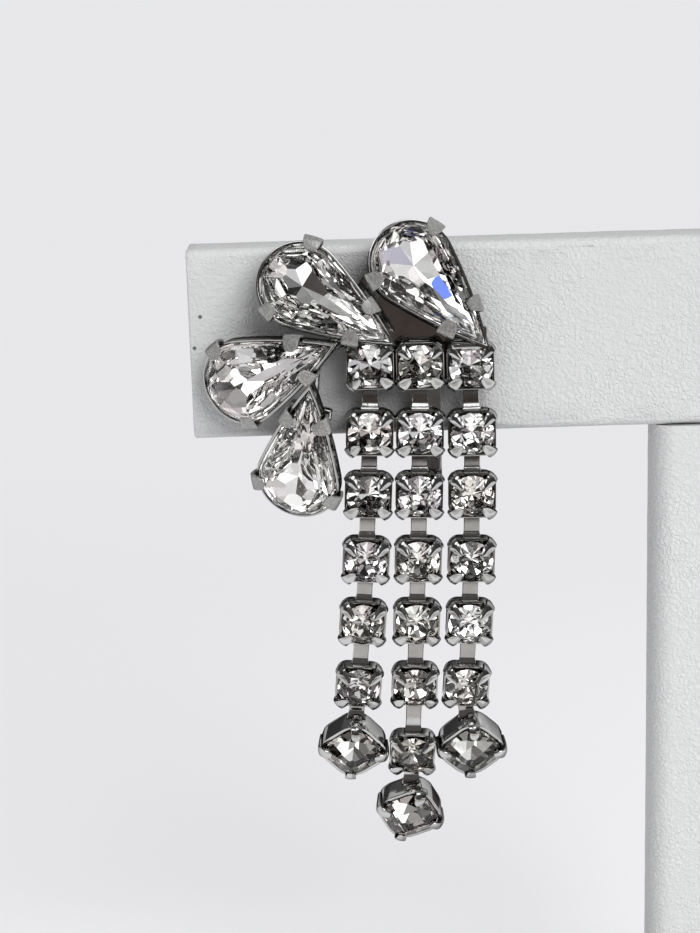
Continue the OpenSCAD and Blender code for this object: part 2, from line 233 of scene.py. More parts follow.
def clean(piece):
    """Merges doubles and turns every face outwards."""
    open_mesh(piece)
    pick_all()
    bpy.ops.mesh.remove_doubles(threshold=0.0005)
    bpy.ops.mesh.normals_make_consistent(inside=False)
    close_mesh()


def copy_of(master, name, place=Matrix()):
    take(master)
    bpy.ops.object.duplicate()
    piece = bpy.context.object
    piece.name = piece.data.name = name
    return put(piece, place)


def joined(name, pieces):
    take(*pieces)
    bpy.ops.object.join()
    pieces[0].name = pieces[0].data.name = name
    return pieces[0]


def discard(*pieces):
    for piece in pieces:
        bpy.data.objects.remove(piece)


def hand_over(piece, node, slot, *materials):
    """Brings a finished piece to metres, gives it its materials and lets it stand for its node."""
    put(piece, Matrix.Scale(MM, 4))
    piece.data.materials.clear()
    for material in materials:
        piece.data.materials.append(material)
    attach(piece, "root")
    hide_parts(node)


def shift(x, y, z):
    return Matrix.Translation((x, y, z))


def turn(axis, degrees):
    return Matrix.Rotation(math.radians(degrees), 4, axis)


def heading(degrees):
    a = math.radians(degrees)
    return Vector((math.cos(a), math.sin(a), 0))


# Where each piece goes

def cup_tilt(row):
    return ROWS[row][1]


def cup_centre(strand, row):
    x, z, lean, curl, _ = STRANDS[strand]
    y = PLATE_FRONT + TOP_CUP_SUNK
    if row:
        y = PLATE_FRONT - CHAIN_CLEAR
        for r in range(2, row + 1):
            y += SLOT_REACH * sum(math.sin(math.radians(cup_tilt(k))) for k in (r - 1, r))
    return Vector((x - lean * row - curl * row * row, y, z - ROWS[row][0]))


def cup_lean(strand, row):
    """A cup hangs along the line between its neighbours."""
    if row == 0:
        return 0
    over, under = cup_centre(strand, row - 1), cup_centre(strand, row + 1)
    return math.degrees(math.atan2(over.x - under.x, over.z - under.z))


def cup_place(strand, row):
    return (Matrix.Translation(cup_centre(strand, row)) @ turn("Y", cup_lean(strand, row))
            @ turn("X", cup_tilt(row) + 90))


def lower_slot(strand, row):
    return cup_place(strand, row) @ Vector((0, -SLOT_REACH, SLOT_Z))


def upper_slot(strand, row):
    return cup_place(strand, row) @ Vector((0, SLOT_REACH, SLOT_Z))


def last_slot(strand):
    return lower_slot(strand, STRANDS[strand][4] - 1)


def drop_slot(strand):
    _, lean, reach = DROPS[strand]
    a = math.radians(lean)
    return last_slot(strand) - reach * Vector((math.sin(a), 0, math.cos(a)))


def drop_place(strand):
    turned = turn("Y", DROPS[strand][1]) @ turn("X", DROP_TILT + 90)
    return Matrix.Translation(drop_slot(strand) - turned @ Vector((0, 3, 1.0))) @ turned


def pear_place(which):
    centre, tip_turn, lift, roll = PEARS[which]
    return (shift(*centre) @ turn("X", 90) @ turn("Z", tip_turn) @ turn("Y", -lift) @ turn("X", roll)
            @ shift(0, 0, -PEAR_GIRDLE))


# Outlines, each a function from the direction that the edge faces to its point

def round_edge(radius):
    return lambda angle: radius * heading(angle)


def cushion_edge(half, corner):
    """Square with rounded corners."""
    def edge(angle):
        out = heading(angle)
        middle = Vector([(half - corner) * (0 if abs(v) < 1e-6 else math.copysign(1, v)) for v in out])
        return middle + corner * out
    return edge


def pear_tip_x(inset):
    return SIDE_X + math.sqrt((PEAR_SIDE_R - inset) ** 2 - SIDE_Y**2)


def pear_edge(inset):
    """Round end and two bowed sides that meet in a tip."""
    tip_turn = math.degrees(math.atan2(SIDE_Y, pear_tip_x(inset) - SIDE_X))

    def edge(angle):
        angle = (angle + 180) % 360 - 180
        if abs(angle) < tip_turn:
            return Vector((pear_tip_x(inset), 0, 0))
        if abs(angle) < JOIN_TURN:
            return (Vector((SIDE_X, -math.copysign(SIDE_Y, angle), 0))
                    + (PEAR_SIDE_R - inset) * heading(angle))
        return (PEAR_R - inset) * heading(angle)
    return edge


def pear_ways(count, offset):
    """Directions around the pear outline, evenly spread along its length and not by angle."""
    tip_way = 61.5
    side_long = PEAR_SIDE_R * math.radians(JOIN_TURN - tip_way)
    whole = 2 * (side_long + PEAR_R * math.radians(180 - JOIN_TURN))
    ways = []
    for k in range(count):
        far = ((k + offset) / count % 1) * whole
        side = 1 if far < whole / 2 else -1
        far = min(far, whole - far)
        if far < side_long:
            ways.append(side * (tip_way + math.degrees(far / PEAR_SIDE_R)))
        else:
            ways.append(side * (JOIN_TURN + math.degrees((far - side_long) / PEAR_R)))
    return ways


# Stones, ground facet by facet; the lower edge of the girdle is at z = 0

def stone_blank(name, reach):
    """Open block that is larger than the stone."""
    stone = block(name, 3 * reach, 3 * reach, 8, (0, 0, 0))
    open_mesh(stone)
    return stone


def grind(point, normal):
    """Grinds one flat facet: all that lies beyond the plane goes."""
    pick_all()
    bpy.ops.mesh.bisect(plane_co=point, plane_no=normal, use_fill=True, clear_outer=True, threshold=1e-5)


def facet(edge, angle, z, slope, inset=0.0):
    """Grinds the facet that faces the angle, through the outline at height z.

    The slope is measured from flat; a negative one faces down."""
    out = heading(angle)
    a = math.radians(abs(slope))
    grind(edge(angle) - inset * out + Vector((0, 0, z)),
          out * math.sin(a) + Vector((0, 0, math.copysign(math.cos(a), slope))))


def deep_facet(point, angle, slope):
    """Grinds a facet that faces down and out, through a point of the stone's underside."""
    a = math.radians(slope)
    grind(point, heading(angle) * math.sin(a) - Vector((0, 0, math.cos(a))))


def round_stone():
    """Round stone for the small cups: eight mains above and below, sixteen facets at the girdle."""
    crown, main_inset = 0.72, 1.02
    stone = stone_blank("round_stone", STONE_R)
    edge = round_edge(STONE_R + 0.13)
    for k in range(32):
        facet(edge, k * 11.25, 0, 90)
    grind((0, 0, GIRDLE + crown), (0, 0, 1))
    for k in range(8):
        facet(edge, 22.5 + 45 * k, GIRDLE, 38)
        facet(edge, 45 * k, GIRDLE + crown, 21, inset=main_inset)
    for k in range(16):
        facet(edge, 11.25 + 22.5 * k, GIRDLE - 0.03, 46)
    for k in range(8):
        facet(edge, 45 * k, 0, -38)
    close_mesh()
    return stone


def cushion_stone():
    """Square stone with rounded corners over a blunt four-sided point, for the drops."""
    girdle, crown, deep = 0.12, 0.93, 1.95
    half = DROP_HALF - DROP_EDGE
    stone = stone_blank("cushion_stone", half)
    edge = cushion_edge(half - 0.01, DROP_CORNER - DROP_EDGE)
    for k in range(32):
        facet(edge, 11.25 * k, 0, 90)
    grind((0, 0, girdle + crown), (0, 0, 1))
    for k in range(8):
        facet(edge, 45 * k, girdle, 38 if k % 2 else 33)
    for k in range(4):
        deep_facet((0, 0, -deep), 90 * k, 19)
        facet(edge, 90 * k, 0, -51)
        facet(edge, 45 + 90 * k, 0, -(49 + 3 * (k % 2)))
    close_mesh()
    return stone


def pear_stone(seed):
    """Pear-shaped stone: a broad table with kites round it, over facets that fan out from a deep point."""
    dice = random.Random(seed)
    crown, deep = 1.2, 1.72
    stone = stone_blank("pear_stone", PEAR_TIP)
    edge = pear_edge(0.34)
    for angle in pear_ways(44, 0.5):
        facet(edge, angle, 0, 90)
    grind((0, 0, GIRDLE + crown), (0, 0, 1))
    for angle in pear_ways(16, 0.5):
        facet(edge, angle, GIRDLE - 0.02, 47 + dice.uniform(-1, 1))
    for angle in pear_ways(10, 0):
        facet(edge, angle, GIRDLE + crown, 37 + dice.uniform(-1, 1), inset=1.45)
    for angle in pear_ways(10, 0.5):
        facet(edge, angle, GIRDLE + crown, 19 + dice.uniform(-1, 1), inset=1.75)
    point = (dice.uniform(-0.2, 0.3), dice.uniform(-0.15, 0.15), -deep)
    for k, slope in enumerate((7.4, 14, 14.5, 13.5, 13.5, 14.5, 14, 7.4)):
        deep_facet(point, 22.5 + 45 * k, slope + dice.uniform(-1.2, 1.2))
    # two more facets split the fan's long ones towards the tip
    for side in (-1, 1):
        grind((2.95, side * 0.8, -1.24), Vector((0.145, side * 0.215, -0.966)))
    for angle in pear_ways(11, 0.5):
        facet(edge, angle, -0.17, -(27 + dice.uniform(-2.5, 2.5)))
    for angle in pear_ways(16, 0):
        facet(edge, angle, 0.0, -(39 + dice.uniform(-2, 2)))
    close_mesh()
    return stone


def few_dark(face, dice):
    """One facet in eight is dull."""
    return 0.85 * (dice.random() < 0.13)


def none_dark(face, dice):
    return 0.0


def right_painted_dark(middle_x):
    """Painted shade: the facets right of the middle get dark foil, for the dark that this side mirrors; the
    others are clear.
    """
    return lambda face, dice: 0.72 + 0.15 * dice.random() if face.center.x > middle_x else 0.0


def mark_facets(stone, seed, warmth, foil_dulling_and_shade):
    """Gives each facet a shade of its own, and the dulling and painted shade of its foil that the given rule
    sets, and the whole stone its warmth.
    """
    dice = random.Random(seed)
    clean(stone)
    layers = stone.data.attributes
    for name in FACET_MARKS:
        layers.new(name, "FLOAT", "FACE")
    for face in stone.data.polygons:
        layers["facet_shade"].data[face.index].value = dice.random()
        layers["facet_hue"].data[face.index].value = dice.random()
        layers["stone_warmth"].data[face.index].value = warmth
        layers["facet_tarnish"].data[face.index].value = foil_dulling_and_shade(face, dice)


def mark_flashes(stone, place, spots):
    """Tints the lower facets whose middles lie near the given spots of the stone, as painted glints."""
    back = place.inverted()
    for face in stone.data.polygons:
        middle = back @ face.center
        for name, x, y, amount in spots:
            if middle.z < -0.9 and (Vector((x, y)) - middle.xy).length < 0.35:
                stone.data.attributes[name].data[face.index].value = amount


def lay_foil(stone, place):
    """Foil on the girdle and on all facets that face away from the viewer."""
    up = place.to_3x3() @ Vector((0, 0, 1))
    for face in stone.data.polygons:
        face.material_index = 1 if face.normal.dot(up) < 0.1 else 0


# Metal

def strip(name, course, thick, crown=0.0, levels=1):
    """Bent strip of metal through stations of distance out, height and half width."""
    clear()
    bpy.ops.mesh.primitive_plane_add(size=1, location=(0, 0, 0))
    piece = added(name)
    open_mesh(piece)
    pick("VERT", lambda co, n: co.x > 0)
    bpy.ops.mesh.delete(type="VERT")
    pick_all()
    bpy.ops.mesh.subdivide(number_cuts=1)
    bpy.ops.mesh.select_mode(type="EDGE")
    pick_all()
    x, z, wide = course[0]
    bpy.ops.transform.resize(value=(1, 2 * wide, 1), center_override=(-0.5, 0, 0))
    bpy.ops.transform.translate(value=(x + 0.5, 0, z))
    for nx, nz, nwide in course[1:]:
        bpy.ops.mesh.extrude_edges_indiv()
        bpy.ops.transform.translate(value=(nx - x, 0, nz - z))
        bpy.ops.transform.resize(value=(1, nwide / wide, 1), center_override=(nx, 0, nz))
        x, z, wide = nx, nz, nwide
    pick_all()
    bpy.ops.mesh.normals_make_consistent(inside=False)
    if crown:
        pick("VERT", lambda co, n: abs(co.y) < 1e-4)
        bpy.ops.transform.shrink_fatten(value=crown)
    close_mesh()
    modify(piece, "SUBSURF", levels=levels, render_levels=levels)
    modify(piece, "SOLIDIFY", thickness=thick, offset=0, use_even_offset=True)
    round_off(piece, thick * 0.22, 1, 50)
    return piece


def with_claws(name, body, claw, first_angle):
    """Joins a cup and four copies of its claw, a quarter turn apart."""
    parts = [body] + [copy_of(claw, "claw", turn("Z", first_angle + 90 * k)) for k in range(4)]
    discard(claw)
    return joined(name, parts)


def hollow_cup(name, half, corner, wall, steps, back_round):
    """Rounded square cup, hollowed from its front in steps of inset and depth."""
    cup = block(name, 2 * half, 2 * half, wall, (0, 0, wall / 2))
    open_mesh(cup)
    pick("EDGE", lambda co, d: abs(d.z) > 0.9)
    bpy.ops.mesh.bevel(offset=corner, segments=7, affect="EDGES")
    pick("FACE", lambda co, n: n.z < -0.9)
    bpy.ops.mesh.region_to_loop()
    bpy.ops.mesh.bevel(offset=back_round, segments=4, affect="EDGES")
    pick("FACE", lambda co, n: n.z > 0.9)
    for inset, depth in steps:
        if inset:
            bpy.ops.mesh.inset(thickness=inset)
        if depth:
            bpy.ops.mesh.extrude_region_move(TRANSFORM_OT_translate={"value": (0, 0, -depth)})
    close_mesh()
    return cup


def small_cup():
    """Cup of the strands: seat, slots above and below, four corner claws folded over the stone."""
    cup = hollow_cup("small_cup", CUP_HALF, CUP_CORNER, CUP_WALL, [(0.3, 1.2)], 0.42)
    cut_out(cup, block("slot", SLOT_WIDE, 6, SLOT_HIGH, (0, 0, SLOT_Z)))
    round_off(cup, 0.05)
    claw = strip("claw", [
        (2.7, 0.7, 0.42), (2.8, 1.2, 0.5), (2.86, 1.7, 0.54), (2.78, 2.08, 0.53),
        (2.44, 2.34, 0.5), (1.9, 2.52, 0.43), (1.38, 2.8, 0.16)], 0.24, 0.17, 2)
    return with_claws("small_cup", cup, claw, 45)


def drop_cup(strand):
    """Deep cup of a drop, its claws at the corners, one of them straight under the link."""
    turned = DROPS[strand][0]
    cup = hollow_cup("drop_cup", DROP_HALF, DROP_CORNER, DROP_WALL,
                     [(0.14, 0.0), (0.16, 0.3), (0.25, 2.15)], 0.95)
    put(cup, turn("Z", 45 - turned))
    cut_out(cup, block("slot", SLOT_WIDE, 4, 1.3, (0, 3.5, 1.0)))
    round_off(cup, 0.06)
    reach = (DROP_HALF - DROP_CORNER) * math.sqrt(2) + DROP_CORNER
    claw = strip("claw", [
        (reach - 0.05, 1.0, 0.42), (reach + 0.06, 2.0, 0.5), (reach + 0.12, 2.9, 0.52),
        (reach - 0.02, 3.4, 0.54), (reach - 0.5, 3.7, 0.5), (reach - 1.15, 3.72, 0.34)], 0.28, 0.14, 2)
    return with_claws("drop_cup", cup, claw, -turned)


def link(upper, lower, lean):
    """Flat link from the slot above to the slot below; it leans back and flares before it goes in."""
    reach = (upper - lower).length
    bend = reach - 0.8
    a, b, c = (0.2 - math.tan(math.radians(lean)) * far * far / bend
               for far in (bend * 0.35, bend * 0.7, bend))
    course = [(-LINK_TAIL, 0.2, LINK_HALF - 0.02), (0.1, 0.2, LINK_HALF), (bend * 0.35, a, LINK_HALF - 0.01),
              (bend * 0.7, b, LINK_HALF - 0.02), (bend, c, LINK_HALF - 0.02),
              (bend + 0.07, c - 0.01, LINK_HALF - 0.01), (bend + 0.3, c + 0.1, LINK_HALF + 0.04),
              (bend + 0.75, c + 0.24, LINK_HALF + 0.14), (reach + 0.5, c + 0.24, LINK_HALF + 0.15)]
    down = (lower - upper).normalized()
    side = Vector((1, 0, 0))
    side = (side - side.dot(down) * down).normalized()
    place = Matrix((down, side, down.cross(side))).transposed().to_4x4()
    place.translation = upper
    return put(strip("link", course, LINK_THICK), place)


def pear_loop(inset, z):
    """Closed loop along the pear outline: one side arc, the round end, the other side arc."""
    clear()
    tip = pear_tip_x(inset)
    bpy.ops.mesh.primitive_plane_add(size=0.01, location=(tip, 0, z))
    loop = added("pear_loop")
    open_mesh(loop)
    pick_all()
    bpy.ops.mesh.merge(type="CENTER")
    tip_turn = math.degrees(math.atan2(SIDE_Y, tip - SIDE_X))
    bpy.ops.mesh.select_mode(type="VERT")
    pick_all()
    for centre, sweep, steps in (((SIDE_X, -SIDE_Y, z), JOIN_TURN - tip_turn, 6),
                                 ((0, 0, z), 360 - 2 * JOIN_TURN, 36),
                                 ((SIDE_X, SIDE_Y, z), JOIN_TURN - tip_turn, 6)):
        bpy.ops.mesh.spin(steps=steps, angle=-math.radians(sweep), center=centre, axis=(0, 0, 1))
    pick_all()
    bpy.ops.mesh.remove_doubles(threshold=0.002)
    close_mesh()
    return loop


def pear_band():
    """Wall of a pear setting: stepped foot, flared rim, ledge under the stone, open back."""
    course = [(1.0, 0.02), (0.34, 0.0), (0.3, 0.06), (0.3, 0.52), (0.24, 0.6), (0.06, 0.62), (0.02, 0.7),
              (0.04, 1.2), (0.0, 1.7), (0.03, 1.83), (0.1, 1.86), (0.2, 1.85), (0.28, 1.8), (0.32, 1.7),
              (0.33, 1.38), (1.0, 1.38)]
    # the loops are bridged a centimetre apart and then brought to their heights
    apart = 10
    loops = [pear_loop(inset, apart * k) for k, (inset, z) in enumerate(course)]
    band = joined("pear_band", loops)
    open_mesh(band)
    for k in range(len(course)):
        heights = (apart * k, apart * ((k + 1) % len(course)))
        pick("EDGE", lambda co, d: abs(d.z) < 0.1 and min(abs(co.z - h) for h in heights) < 1)
        bpy.ops.mesh.bridge_edge_loops()
    for k, (inset, z) in enumerate(course):
        pick("VERT", lambda co, n: abs(co.z - apart * k) < 1)
        bpy.ops.transform.translate(value=(0, 0, z - apart * k))
    pick_all()
    bpy.ops.mesh.normals_make_consistent(inside=False)
    close_mesh()
    return band


def pear_claw(angle, half, lean):
    """Folded claw of a pear setting, worn to a satin finish."""
    claw = strip("claw", [
        (0.02, 0.75, half * 0.94), (0.2, 1.25, half), (0.36, 1.8, half * 1.04),
        (0.32 + lean, 2.12, half * 1.06), (0.05 + lean, 2.36, half * 1.02), (-0.5, 2.5, half * 0.9),
        (-1.0, 2.75, half * 0.55)], 0.28, 0.06, 2)
    worn = claw.data.attributes.new("satin", "FLOAT", "FACE")
    worn.data.foreach_set("value", [1.0] * len(claw.data.polygons))
    return put(claw, Matrix.Translation(pear_edge(0)(angle)) @ turn("Z", angle))


def pear_setting(which, band):
    """Pear band with its four folded claws and the bar and leg that carry it."""
    parts = [copy_of(band, "band")]
    parts += [pear_claw(*claw) for claw in PEAR_CLAWS[which]]
    along, share, end = LEGS[which]
    half = abs(pear_edge(0.5)(JOIN_TURN - 3)[1]) * share - 0.25
    bar = block("bar", 1.4, 2 * min(half, 3.2), 0.7, (along, 0, -0.15))
    round_off(bar, 0.2, 3)
    parts.append(bar)
    setting = put(joined(which + "_setting", parts), pear_place(which))
    leg = rod("leg", pear_place(which) @ Vector((along, 0, -0.2)), end, 0.62)
    round_off(leg, 0.15, 2)
    return joined(which + "_setting", [setting, leg])


def cluster_plate():
    """Plate behind the cluster: a disc with a bar that carries the strands."""
    thick = PLATE_BACK - PLATE_FRONT
    middle = (PLATE_BACK + PLATE_FRONT) / 2
    plate = rod("plate", (PLATE_X, PLATE_FRONT, 92.2), (PLATE_X, PLATE_BACK, 92.2), PLATE_R, 64)
    cut_out(plate, block("bar", 13.5, thick, 4.95, (-32.6, middle, 88.2)), "UNION")
    round_off(plate, 0.14, 3)
    return plate


def saddle():
    """Lump of solder that seats the top pear's tip on the right strand's first cup."""
    y, z = -5.9, 89.45
    lump = rod("saddle", (-29.5, y, z), (-25.8, y, z), 0.78, 32)
    open_mesh(lump)
    pick_all()
    bpy.ops.transform.resize(value=(1, 1.3, 0.9), center_override=(-27.6, y, z))
    close_mesh()
    round_off(lump, 0.35, 4, 60)
    return lump


def across_hinge(name, half, radius, sides):
    """Rod along the axis of the clip's pin."""
    return rod(name, (STRAP_X - half, HINGE_Y, HINGE_Z), (STRAP_X + half, HINGE_Y, HINGE_Z), radius, sides)


def clip_strap():
    """Strap down the arm's front with a shelf under the arm and two pierced ears."""
    floor_z = HINGE_Z - 2
    strap = block("strap", STRAP_WIDE, 0.75, 11.8, (STRAP_X, -3.825, floor_z + 5.9))
    cut_out(strap, block("shelf", STRAP_WIDE, 9.8, 0.8, (STRAP_X, 0.7, floor_z + 0.4)), "UNION")
    for side in (-1, 1):
        ear = block("ear", 0.7, 1.9, 2.5, (STRAP_X + side * (STRAP_WIDE / 2 - 0.4), 4.6, floor_z + 1.65))
        open_mesh(ear)
        pick("EDGE", lambda co, d: co.z > floor_z + 2.8 and abs(d.x) > 0.9)
        bpy.ops.mesh.bevel(offset=0.8, segments=6, affect="EDGES")
        close_mesh()
        cut_out(strap, ear, "UNION")
    cut_out(strap, across_hinge("pin_hole", 3, 0.5, 24))
    round_off(strap, 0.12, 3)
    return strap


def lever():
    """Lever behind the arm: a strip with a round pad, rolled round its pin."""
    y = ARM_THICK / 2 + 0.4
    wide = STRAP_WIDE - LEVER_PLAY
    pad_z = HINGE_Z + 10.5
    tongue = block("lever", wide, 0.86, 10.9, (STRAP_X, y + 0.45, HINGE_Z + 5.05))
    round_off(tongue, 0.12, 3)
    pad = rod("pad", (STRAP_X, y + 0.02, pad_z), (STRAP_X, y + 0.88, pad_z), 3.98, 64)
    open_mesh(pad)
    for side in (-1, 1):
        pick("FACE", lambda co, n: n.y * side > 0.9)
        bpy.ops.mesh.inset(thickness=0.45)
        bpy.ops.mesh.inset(thickness=0.2)
        bpy.ops.transform.translate(value=(0, -0.16 * side, 0))
    close_mesh()
    round_off(pad, 0.12, 3)
    barrel = across_hinge("barrel", wide / 2, 0.78, 32)
    round_off(barrel, 0.08)
    pin = across_hinge("pin", STRAP_WIDE / 2 + PIN_END, 0.41, 24)
    round_off(pin, 0.12, 3)
    return joined("clip_lever_metal", [tongue, pad, barrel, pin])


# Stand

def wrapped_board(name, size, at, corner, along):
    """Board wrapped in leatherette, its edges along one axis rounded."""
    board = block(name, *size, at)
    open_mesh(board)
    pick("EDGE", lambda co, d: abs(getattr(d, along)) > 0.9)
    bpy.ops.mesh.bevel(offset=corner, segments=5, affect="EDGES")
    close_mesh()
    return board


def arm():
    """Arm whose wrapping wanders a little."""
    board = wrapped_board("arm", (ARM_LONG - BOARD_EASE, ARM_THICK - BOARD_EASE, ARM_HIGH - BOARD_EASE),
                          (0, 0, ARM_TOP - ARM_HIGH / 2), 0.95, "x")
    open_mesh(board)
    pick("EDGE", lambda co, d: abs(d.x) > 0.9)
    bpy.ops.mesh.subdivide(number_cuts=60)
    pick("EDGE", lambda co, d: abs(d.z) > 0.9 and abs(abs(co.y) - ARM_THICK / 2) < 0.1)
    bpy.ops.mesh.subdivide(number_cuts=8)
    close_mesh()
    round_off(board, 0.22, 3, 60)
    open_mesh(board)
    pick_all()
    bpy.ops.transform.vertex_random(offset=0.035, seed=4)
    close_mesh()
    return board


def post():
    """Post between the base and the arm, its ends kept flat."""
    high = ARM_LOW - BASE_HIGH - BOARD_EASE
    board = wrapped_board("post", (POST_WIDE - BOARD_EASE, ARM_THICK - BOARD_EASE, high),
                          (0, 0, BASE_HIGH + BOARD_EASE / 2 + high / 2), 2.3, "z")
    open_mesh(board)
    pick("EDGE", lambda co, d: abs(d.z) > 0.9)
    bpy.ops.mesh.subdivide(number_cuts=40)
    pick("VERT", lambda co, n: BASE_HIGH + 0.2 < co.z < ARM_LOW - 0.2)
    bpy.ops.transform.vertex_random(offset=0.03, seed=6)
    close_mesh()
    return board


def base():
    board = wrapped_board("base", (BASE_WIDE - BOARD_EASE, BASE_DEEP - BOARD_EASE, BASE_HIGH),
                          (0, 0, BASE_HIGH / 2), 2, "z")
    open_mesh(board)
    pick("FACE", lambda co, n: abs(n.z) > 0.9)
    bpy.ops.mesh.region_to_loop()
    bpy.ops.mesh.bevel(offset=0.7, segments=4, affect="EDGES")
    close_mesh()
    return board


# Shader bench

class Value:
    """A socket of a node tree that takes part in arithmetic."""

    def __init__(self, bench, socket):
        self.bench, self.socket = bench, socket

    def _maths(self, how, *terms):
        return self.bench.add("ShaderNodeMath", dict(enumerate(terms)), operation=how)

    def __add__(self, other):
        return self._maths("ADD", self, other)

    __radd__ = __add__

    def __sub__(self, other):
        return self._maths("SUBTRACT", self, other)

    def __rsub__(self, other):
        return self._maths("SUBTRACT", other, self)

    def __mul__(self, other):
        return self._maths("MULTIPLY", self, other)

    __rmul__ = __mul__

    def __truediv__(self, other):
        return self._maths("DIVIDE", self, other)

    def __rtruediv__(self, other):
        return self._maths("DIVIDE", other, self)

    def __abs__(self):
        return self._maths("ABSOLUTE", self)

    def most(self, other):
        return self._maths("MAXIMUM", self, other)

    def ramp(self, low, high, start=0.0, end=1.0):
        """Smooth step from start to end while the value goes from low to high."""
        return self.bench.add("ShaderNodeMapRange", {0: self, 1: low, 2: high, 3: start, 4: end},
                              interpolation_type="SMOOTHSTEP")


class Bench:
    """Node tree of one material or of the world."""

    def __init__(self, owner):
        owner.use_nodes = True
        self.tree = owner.node_tree
        self.tree.nodes.clear()

    def node(self, kind, inputs=None, **settings):
        """Adds a node, its settings first and then its sockets' values or links."""
        node = self.tree.nodes.new(kind)
        for key, value in settings.items():
            setattr(node, key, value)
        for key, value in (inputs or {}).items():
            socket = node.inputs[key]
            if isinstance(value, Value):
                self.tree.links.new(value.socket, socket)
            elif hasattr(socket.default_value, "__len__") and not hasattr(value, "__len__"):
                socket.default_value = [value] * len(socket.default_value)
            elif hasattr(value, "__len__") and len(socket.default_value) == 4 and len(value) == 3:
                socket.default_value = (*value, 1)
            else:
                socket.default_value = value
        return node

    def add(self, kind, inputs=None, out=0, **settings):
        """Adds a node and gives one of its outputs."""
        return Value(self, self.node(kind, inputs, **settings).outputs[out])

    def place(self):
        return self.add("ShaderNodeTexCoord", out="Object")

    def parts(self, vector):
        """The x, y and z of a vector."""
        return [Value(self, out) for out in self.node("ShaderNodeSeparateXYZ", {0: vector}).outputs]

    def attribute(self, name):
        return self.add("ShaderNodeAttribute", out="Fac", attribute_name=name)

    def noise(self, scale, detail, where=None, rough=0.5, out="Fac"):
        return self.add("ShaderNodeTexNoise", {"Vector": where or self.place(), "Scale": scale,
                                               "Detail": detail, "Roughness": rough}, out=out)

    def mix(self, factor, a, b, how="MIX"):
        return self.add("ShaderNodeMix", {0: factor, 6: a, 7: b}, out=2, data_type="RGBA", blend_type=how)

    def distance(self, a, b):
        return self.add("ShaderNodeVectorMath", {0: a, 1: b}, operation="DISTANCE", out=1)

    def dot(self, a, b):
        return self.add("ShaderNodeVectorMath", {0: a, 1: tuple(b)}, operation="DOT_PRODUCT", out=1)

    def openness(self, reach):
        """1 on open surfaces, less in corners that are narrower than the reach."""
        return self.add("ShaderNodeAmbientOcclusion", {"Distance": reach}, out="AO", samples=8)

    def bump(self, height, distance, strength):
        return self.add("ShaderNodeBump", {"Height": height, "Distance": distance, "Strength": strength})

    def surface(self, **sockets):
        """Closes a material with one surface shader; an underscore in a socket's name is a space."""
        shader = self.add("ShaderNodeBsdfPrincipled", {k.replace("_", " "): v for k, v in sockets.items()})
        self.node("ShaderNodeOutputMaterial", {"Surface": shader})

    def glow(self, colour):
        self.node("ShaderNodeOutputMaterial", {"Surface": self.add("ShaderNodeEmission", {"Color": colour})})


def rhodium():
    """Bright rhodium plate, tarnished and painted dark with shade in its corners, finely scratched and dark
    where it turns away.
    """
    material = bpy.data.materials.new("rhodium_plate")
    b = Bench(material)
    cloud = b.noise(420, 4).ramp(0.35, 0.7)
    fine = b.noise(5200, 3, rough=0.6)
    open_clean_and_lit = b.openness(0.0005).ramp(0.3, 0.98)
    plate = b.mix(cloud, (0.68, 0.68, 0.67), (0.56, 0.56, 0.545))
    # Corners go near black: tarnish, and painted shade in the hollows between the parts.
    colour = b.mix(open_clean_and_lit, (0.045, 0.044, 0.041), plate)
    satin = b.attribute("satin")
    dulled = b.mix(fine.ramp(0.35, 0.7), (0.3, 0.298, 0.29), (0.48, 0.475, 0.465))
    b.surface(
        Base_Color=b.mix(satin, colour, dulled), Metallic=1 - 0.5 * satin, Specular_Tint=0.12,
        Roughness=0.06 + 0.05 * cloud + 0.06 * fine.ramp(0.4, 0.8) + 0.15 * (1 - open_clean_and_lit) + 0.2 * satin,
        Normal=b.bump(b.noise(900, 2) * 0.7 + fine * 0.12, 0.00003, 0.5))
    return material


def crystal():
    """Clear glass with a breath of dust and wear on its facets."""
    material = bpy.data.materials.new("clear_crystal")
    b = Bench(material)
    dust = b.noise(2600, 4).ramp(0.55, 0.8)
    b.surface(
        Base_Color=b.mix(b.attribute("facet_shade"), (0.985, 0.985, 0.98), (0.94, 0.945, 0.935)),
        Transmission_Weight=1.0, IOR=1.56, Roughness=0.004 + 0.02 * dust)
    return material


def foil():
    """Silver foil behind the stones, uneven from facet to facet, dull or yellowed in places, with painted
    shade on the drops' right halves and painted glints of colour.
    """
    material = bpy.data.materials.new("mirror_foil")
    b = Bench(material)
    hue = b.attribute("facet_hue")
    silver = b.mix(b.attribute("facet_shade"), (0.96, 0.96, 0.96), (0.80, 0.80, 0.81))
    # Dark foil: dulled facets of the small stones, and painted shade on the drops' right halves.
    silver = b.mix(b.attribute("facet_tarnish"), silver, (0.07, 0.068, 0.065))
    # Painted fire: the foil of a few facets is tinted mauve.
    painted_fire_tint = b.mix(hue.ramp(0.72, 0.8) * 0.35, silver, (0.62, 0.52, 0.58))
    warmth = b.attribute("stone_warmth") * (0.4 + 0.6 * hue)
    aged = b.mix(warmth, painted_fire_tint, (0.80, 0.78, 0.66), "MULTIPLY")
    # Painted glints: the top pear's blue flash and its pale flash.
    inside = b.distance(b.place(), BLUE_MIDDLE).ramp(BLUE_R, BLUE_R + 0.00015, 1, 0)
    blue = b.attribute("blue_flash") * inside + b.attribute("pale_flash")
    b.surface(
        Base_Color=b.mix(blue, aged, (0.06, 0.09, 0.38)), Metallic=1.0,
        Roughness=0.02 + 0.05 * b.noise(3400, 3).ramp(0.4, 0.8))
    return material


